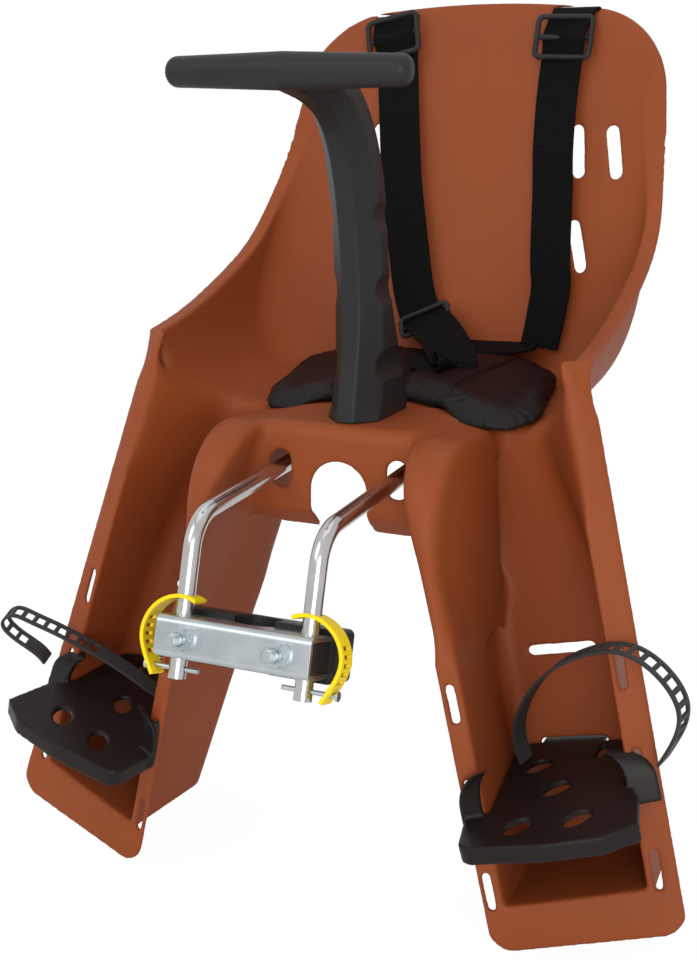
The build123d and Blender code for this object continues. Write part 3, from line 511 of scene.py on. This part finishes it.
for number, edge in enumerate(pad_rim):
    rim_tree.insert(edge, number)
    rim_walk.append(rim_walk[-1] + (pad_rim[(number + 1) % around] - edge).length)
rim_tree.balance()
# A weight on each vertex for the front part of the gathered rim, which carries the painted sheen and the lower
# roughness.
painted_sheen_share = cushion.data.attributes.new("band", "FLOAT", "POINT")
seam_width, seam_depth, gather_depth, ripple_depth = 0.0022, 0.0028, 0.0016, 0.0006
for vertex in cushion.data.vertices:
    spot = pan_frame.inverted() @ vertex.co
    flat_spot = Vector((spot.x, spot.y, 0))
    _, number, inset = rim_tree.find(flat_spot)
    walked = rim_walk[number]
    rise = max(0.0, min(1.0, (spot.z - pad_base(flat_spot) - 0.002) / 0.004))
    gathers = gather_depth * sin(walked / 0.0021) * sin(walked / 0.013 + 0.6) * exp(-inset / 0.012)
    seams = sum(exp(-(off / seam_width) ** 2) for off in (spot.x, abs(spot.x) - seam_side(spot.y)))
    ripple = ripple_depth * sin(spot.x / 0.010 + 2 * sin(spot.y / 0.03))
    spot.z += rise * (gathers + ripple - seam_depth * min(1.0, seams) * min(1.0, inset / 0.006))
    spot.z = max(spot.z, pad_base(flat_spot))
    # The weight covers the rim band, and only towards the front of the pad: there the painted sheen greys the cover.
    painted_sheen_share.data[vertex.index].value = near(inset, 0, 0.016, 0.008) * near(spot.y, 0, 0.095, 0.030)
    vertex.co = pan_frame @ spot
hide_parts("seat_cushion")


# Stitching: black thread in even stitches along the cushion's seams, and across the belts where they are doubled.
# Each stitch is a short rounded length of thread that lies on the cloth.
def node_tree(name, **inputs):
    """An empty geometry tree with its inputs, and the identifiers of their sockets."""
    tree = bpy.data.node_groups.new(name, "GeometryNodeTree")
    tree.interface.new_socket("Geometry", in_out="INPUT", socket_type="NodeSocketGeometry")
    tree.interface.new_socket("Geometry", in_out="OUTPUT", socket_type="NodeSocketGeometry")
    keys = {}
    for label, kind in inputs.items():
        keys[label] = tree.interface.new_socket(label, in_out="INPUT", socket_type="NodeSocket" + kind).identifier
    return tree, keys


def finished(tree, given, shape):
    """Ends a geometry tree: the shape is made real and takes the finish."""
    real = tree.nodes.new("GeometryNodeRealizeInstances")
    dyed = tree.nodes.new("GeometryNodeSetMaterial")
    out = tree.nodes.new("NodeGroupOutput")
    tree.links.new(shape, real.inputs["Geometry"])
    tree.links.new(real.outputs["Geometry"], dyed.inputs["Geometry"])
    tree.links.new(given.outputs["Finish"], dyed.inputs["Material"])
    tree.links.new(dyed.outputs["Geometry"], out.inputs["Geometry"])


def stitch_tree():
    """Stitches at an even pitch along the edges of a mesh."""
    tree, keys = node_tree("stitches", Pitch="Float", Length="Float", Thread="Float", Finish="Material")
    given = tree.nodes.new("NodeGroupInput")
    path = tree.nodes.new("GeometryNodeMeshToCurve")
    marks = tree.nodes.new("GeometryNodeCurveToPoints")
    marks.mode = "LENGTH"
    stitch = tree.nodes.new("GeometryNodeMeshIcoSphere")
    stitch.inputs["Subdivisions"].default_value = 1
    stitch.inputs["Radius"].default_value = 1.0
    size = tree.nodes.new("ShaderNodeCombineXYZ")
    laid = tree.nodes.new("GeometryNodeInstanceOnPoints")
    for source, target in ((given.outputs["Geometry"], path.inputs["Mesh"]),
                           (path.outputs["Curve"], marks.inputs["Curve"]),
                           (given.outputs["Pitch"], marks.inputs["Length"]),
                           (given.outputs["Thread"], size.inputs["X"]),
                           (given.outputs["Thread"], size.inputs["Y"]),
                           (given.outputs["Length"], size.inputs["Z"]),
                           (marks.outputs["Points"], laid.inputs["Points"]),
                           (stitch.outputs["Mesh"], laid.inputs["Instance"]),
                           (marks.outputs["Rotation"], laid.inputs["Rotation"]),
                           (size.outputs["Vector"], laid.inputs["Scale"])):
        tree.links.new(source, target)
    finished(tree, given, laid.outputs["Instances"])
    return tree, keys


def grown(name, tree, keys, values, points=(), edges=()):
    """A plain mesh piece that a geometry tree makes, from the edges of a path where it has one."""
    mesh = bpy.data.meshes.new(name)
    mesh.from_pydata(points, edges, [])
    piece = placed(name, mesh)
    growth = piece.modifiers.new(name, "NODES")
    growth.node_group = tree
    for label, value in values.items():
        growth[keys[label]] = value
    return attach(shaded_smooth(baked(piece)), "root")


thread_black = moulded("sewing_thread", dark=(0.012, 0.010, 0.010), light=(0.030, 0.026, 0.026),
                       roughness=0.55, grain=0.00003)
stitches, stitch_keys = stitch_tree()
seam_values = {"Pitch": 0.0034, "Length": 0.0013, "Thread": 0.00035, "Finish": thread_black}
seam_points, seam_edges = [], []
seam_front, seam_length, seam_steps, seam_margin, above = 0.070, 0.130, 60, 0.006, 0.06
bpy.context.view_layer.update()
for side in (-1, 0, 1):
    started = False
    for step in range(seam_steps):
        along = seam_front + seam_length * step / (seam_steps - 1)
        spot = Vector((side * seam_side(along), along, above))
        reached, place, _, _ = cushion.ray_cast(pan_frame @ spot, pan_frame.to_3x3() @ Vector((0, 0, -1)))
        if not reached or rim_tree.find(Vector((spot.x, spot.y, 0)))[2] < seam_margin:
            started = False
            continue
        seam_points.append(place)
        if started:
            seam_edges.append((len(seam_points) - 2, len(seam_points) - 1))
        started = True
seams = grown("cushion_seams", stitches, stitch_keys, seam_values, seam_points, seam_edges)

# Harness: two shoulder belts of woven black webbing, which come through slots below the top edge of the back.
# The right one runs through a bar and folds on the cushion, and the lap belt joins both at the back of the pad.
belt_width, belt_thick = 0.034, 0.0018
left_run = [(71, 285, 262), (71, 290, 279), (71, 294.5, 290), (71, 293.5, 296.5), (70.5, 288, 298.3),
            (70, 282, 296.5), (68, 277, 290.5), (66, 273.5, 283), (65, 270, 277.5), (64.5, 271.5, 270),
            (64.5, 269.5, 262), (63.5, 262.5, 232), (65, 252, 195), (68, 244, 165), (73, 227, 116),
            (76, 221, 96), (75, 216, 77), (73.5, 212, 62), (72, 208.5, 50)]
right_run = [(-78, 285, 260), (-78, 290, 277), (-78, 294.5, 288), (-78, 293.5, 294), (-77.5, 288, 295.5),
             (-77, 282, 294), (-76, 277, 289.5), (-75, 273.5, 284), (-74, 270, 279.5), (-72, 271.5, 271),
             (-70, 269.5, 263), (-66, 262.5, 232), (-60, 252, 193), (-55, 245, 162), (-42, 230, 109),
             (-36, 224, 86), (-29, 219, 69), (-24, 214, 62)]
tail_run = [(-26, 217, 67), (-14, 202, 65), (2, 182, 60), (16, 161, 54.5), (26, 146, 49.5), (30, 139, 46.2),
            (25, 140, 43.6), (8, 149, 43.4), (-10, 158, 44.2)]
lap_run = [(-2, 196, 49), (14, 200, 48.2), (34, 203, 48), (54, 206, 49), (72, 207, 52)]


def belt_finish():
    """Webbing: ribs across the belt from the weft and a fine twill between them."""
    material, shader, place = new_finish("belt_webbing", 0.72)
    strip = place.node("ShaderNodeUVMap", {"uv_map": "belt"})
    ribs, cords = woven(strip, "Y", 230.0), woven(strip, "X", 330.0, distortion=0.6)
    worn = noise(place, scale=120.0)
    mixed(place, worn * ribs, (0.0025, 0.0024, 0.0026), (0.0085, 0.008, 0.0085)).feeds(shader, "Base Color")
    (0.62 + 0.18 * worn).feeds(shader, "Roughness")
    bumped(place, ribs + 0.7 * cords, distance=0.00022, edge=0.0003).feeds(shader, "Normal")
    shader.inputs["Specular IOR Level"].default_value = 0.08
    return material


webbing = belt_finish()


def belt(name, run, sides, replaced):
    """A flat belt along a run of points, its width turning from one side direction to another."""
    middle = [Vector(spot) / 1000 + seat_zero for spot in smooth_run([Vector(spot) for spot in run], 8)]
    across = [-0.5, -0.46, -0.25, 0, 0.25, 0.46, 0.5]
    points, faces, walked, lengths = [], [], 0.0, []
    for number, spot in enumerate(middle):
        ahead = middle[min(number + 1, len(middle) - 1)] - middle[max(number - 1, 0)]
        ahead.normalize()
        turn = number / (len(middle) - 1)
        side = Vector(sides[0]).lerp(Vector(sides[1]), turn)
        side = (side - ahead * side.dot(ahead)).normalized()
        walked += (spot - middle[max(number - 1, 0)]).length
        lengths.append(walked)
        points += [spot + side * belt_width * share for share in across]
    columns = len(across)
    for row in range(len(middle) - 1):
        for column in range(columns - 1):
            corner = row * columns + column
            faces.append((corner, corner + 1, corner + columns + 1, corner + columns))
    piece = new_piece(name, points, faces, webbing)
    strip = piece.data.uv_layers.new(name="belt")
    for loop in piece.data.loops:
        row, column = divmod(loop.vertex_index, columns)
        strip.data[loop.index].uv = (across[column] * belt_width, lengths[row])
    wall = piece.modifiers.new("weave", "SOLIDIFY")
    wall.thickness = belt_thick
    wall.offset = 0
    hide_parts(replaced)
    return [points[row * columns:(row + 1) * columns] for row in range(len(middle))]


left_rows = belt("belt_left", left_run, [(1, 0, 0), (0.93, -0.36, 0)], "shoulder_belt_left")
right_rows = belt("belt_right", right_run, [(1, 0, 0), (0.94, 0, 0.34)], "shoulder_belt_right")
tack_points, tack_edges = [], []
tack_lift, lower_tacks, belt_middle = Vector((0, -0.0010, 0.0002)), 0.28, 3
for rows, levels in ((left_rows, (0.283, 0.279, 0.227, 0.223)), (right_rows, (0.305, 0.301, 0.253, 0.249))):
    for level in levels:
        in_front = rows[len(rows) // (2 if level < lower_tacks else 3):]
        row = min(in_front, key=lambda spots: abs(spots[belt_middle].z - level))
        tack_points += [row[1] + tack_lift, row[-2] + tack_lift]
        tack_edges.append((len(tack_points) - 2, len(tack_points) - 1))
tacks = grown("belt_stitches", stitches, stitch_keys, seam_values, tack_points, tack_edges)
belt("belt_fold", tail_run, [(0.91, 0.10, 0.41), (0.58, 0.80, 0.12)], "belt_tail")
belt("belt_lap", lap_run, [(0, 1, 0.1), (0.1, 1, 0.1)], "lap_belt")


# Slides and adjuster: moulded black rings that the webbing is threaded through.
# Each ring lies on its belt, with the webbing bulging over a bar in the middle.
def belt_ring(name, centre, across, up, size, thick, replaced):
    """A rounded rectangular ring, round in section, in the plane of two directions, with a middle bar."""
    across = Vector(across).normalized()
    up = Vector(up)
    up = (up - across * up.dot(across)).normalized()
    centre = Vector(centre) / 1000 + seat_zero
    corner, bar_set = 0.004, 0.0012
    half_wide, half_high = size[0] / 2, size[1] / 2
    ring_curve = bpy.data.curves.new(name, "CURVE")
    ring_curve.dimensions = "3D"
    ring_curve.bevel_depth = thick
    ring_curve.bevel_resolution = 4
    loop = []
    for quarter, (right, top) in enumerate(((1, 1), (-1, 1), (-1, -1), (1, -1))):
        for step in range(6):
            angle = pi / 2 * (quarter + step / 5)
            loop.append(centre + across * (right * (half_wide - corner) + corner * cos(angle))
                        + up * (top * (half_high - corner) + corner * sin(angle)))
    bar = [centre + across * end * (half_wide - thick) - across.cross(up) * bar_set for end in (-1, 1)]
    for spots, closed in ((loop, True), (bar, False)):
        spline = ring_curve.splines.new("POLY")
        spline.points.add(len(spots) - 1)
        for point, spot in zip(spline.points, spots):
            point.co = (*spot, 1)
        spline.use_cyclic_u = closed
    form = placed(name + "_path", ring_curve)
    mesh = meshed(form)
    bpy.data.objects.remove(form)
    ring = new_piece(name, [vertex.co for vertex in mesh.vertices], [tuple(face.vertices) for face in mesh.polygons],
                     black_plastic)
    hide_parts(replaced)


belt_ring("slide_left", (65, 270.5, 277), across=(1, 0, -0.02), up=(0, 0.30, 0.95), size=(0.042, 0.031),
          thick=0.0021, replaced="belt_slide_left")
belt_ring("slide_right", (-74.5, 270.5, 279.5), across=(0.97, 0, 0.22), up=(0, 0.30, 0.95), size=(0.042, 0.031),
          thick=0.0021, replaced="belt_slide_right")
belt_ring("adjuster", (-22, 212, 65), across=(0.91, 0, 0.41), up=(0, 0.5, 0.87), size=(0.042, 0.016),
          thick=0.0019, replaced="belt_adjuster")


# Threads: the screw thread on the bolt ends that stand out of the nuts, in the bolts' zinc.
# One ridge winds round each end at a pitch of 1.2 mm.
def thread_tree():
    """A ridge that winds round an axis."""
    tree, keys = node_tree("screw_thread", Radius="Float", Length="Float", Turns="Float", Ridge="Float",
                           Finish="Material")
    given = tree.nodes.new("NodeGroupInput")
    helix = tree.nodes.new("GeometryNodeCurveSpiral")
    helix.inputs["Resolution"].default_value = 28
    ridge = tree.nodes.new("GeometryNodeCurvePrimitiveCircle")
    ridge.inputs["Resolution"].default_value = 6
    swept = tree.nodes.new("GeometryNodeCurveToMesh")
    swept.inputs["Fill Caps"].default_value = True
    for source, target in ((given.outputs["Radius"], helix.inputs["Start Radius"]),
                           (given.outputs["Radius"], helix.inputs["End Radius"]),
                           (given.outputs["Length"], helix.inputs["Height"]),
                           (given.outputs["Turns"], helix.inputs["Rotations"]),
                           (given.outputs["Ridge"], ridge.inputs["Radius"]),
                           (helix.outputs["Curve"], swept.inputs["Curve"]),
                           (ridge.outputs["Curve"], swept.inputs["Profile Curve"])):
        tree.links.new(source, target)
    finished(tree, given, swept.outputs["Mesh"])
    return tree, keys


bolt_way = Vector((0, -0.95782, 0.28736))
bolt_turn = bolt_way.to_track_quat("Z", "Y").to_matrix().to_4x4()
tip_depth, thread_start = 0.0002, 0.0055
threads, thread_keys = thread_tree()
for side in ("left", "right"):
    bolt = [vertex.co for vertex in nodes[f"clamp_bolt_{side}"].data.vertices]
    reach = max(spot.dot(bolt_way) for spot in bolt)
    tip = [spot for spot in bolt if spot.dot(bolt_way) > reach - tip_depth]
    tip = sum(tip, Vector()) / len(tip)
    ridge = grown(f"bolt_thread_{side}", threads, thread_keys,
                  {"Radius": 0.0039, "Length": 0.0048, "Turns": 4.0, "Ridge": 0.0004, "Finish": zinc})
    ridge.data.transform(Matrix.Translation(tip - thread_start * bolt_way) @ bolt_turn)

# Floor and backdrop: one pale sheet under the seat, white to the camera with a faint shadow.
low, high = (Vector(corner) for corner in cad_box)
floor_half = 6.0
floor_mesh = bpy.data.meshes.new("floor")
floor_mesh.from_pydata([(-floor_half, -floor_half, low.z), (floor_half, -floor_half, low.z),
                        (floor_half, floor_half, low.z), (-floor_half, floor_half, low.z)], [], [(0, 1, 2, 3)])
placed("floor", floor_mesh)
pale = bpy.data.materials.new("pale_floor")
pale.use_nodes = True
sheet = Signal(pale.node_tree)
pale_shader = pale.node_tree.nodes["Principled BSDF"]
pale_shader.inputs["Base Color"].default_value = (0.85, 0.85, 0.85, 1)
pale_shader.inputs["Roughness"].default_value = 0.9
seen = sheet.node("ShaderNodeLightPath", output="Is Camera Ray")
glow = sheet.node("ShaderNodeEmission", None, {"Color": (1, 1, 1, 1), "Strength": 1.04})
lit = Signal(pale.node_tree, pale_shader.outputs["BSDF"])
sheet_mix = sheet.node("ShaderNodeMixShader", None, {0: 0.92 * seen, 1: lit, 2: glow})
sheet_mix.feeds(pale.node_tree.nodes["Material Output"], "Surface")
floor_mesh.materials.append(pale)

# Studio: a white room with a large soft key from the left front, a low fill from the right and a weak top lamp.
world = bpy.data.worlds.new("studio")
bpy.context.scene.world = world
world.use_nodes = True
plain = world.node_tree.nodes["Background"]
plain.inputs["Color"].default_value = (1, 1, 1, 1)
camera_ray = Signal(world.node_tree).node("ShaderNodeLightPath", output="Is Camera Ray")
(0.75 + 0.25 * camera_ray).feeds(plain, "Strength")


def soft_lamp(name, place, aim, size, power):
    """A square area lamp that points at a place."""
    lamp = bpy.data.lights.new(name, "AREA")
    lamp.size = size
    lamp.energy = power
    holder = placed(name, lamp)
    holder.location = place
    holder.rotation_euler = (Vector(aim) - Vector(place)).to_track_quat("-Z", "Y").to_euler()


middle = (low + high) / 2
soft_lamp("key", (-0.9, -1.6, 1.7), middle, size=1.4, power=11.0)
soft_lamp("fill", (0.9, -1.9, 0.5), middle, size=1.2, power=20.0)
soft_lamp("top", (0.1, 0.3, 2.0), middle, size=1.6, power=4.0)

# Camera: where the photograph was taken from, a long lens a little above the seat and to its left.
camera = bpy.data.cameras.new("camera")
camera.sensor_width = 36.0
camera.lens = 54.79
camera.clip_start = 0.01
viewer = placed("camera", camera)
viewer.location = (0.3882, -0.7293, 0.3169)
azimuth, elevation = radians(24.15), radians(14.61)
viewer.rotation_euler = (pi / 2 - elevation, 0, azimuth)
bpy.context.scene.camera = viewer
bpy.context.scene.view_settings.view_transform = "Standard"
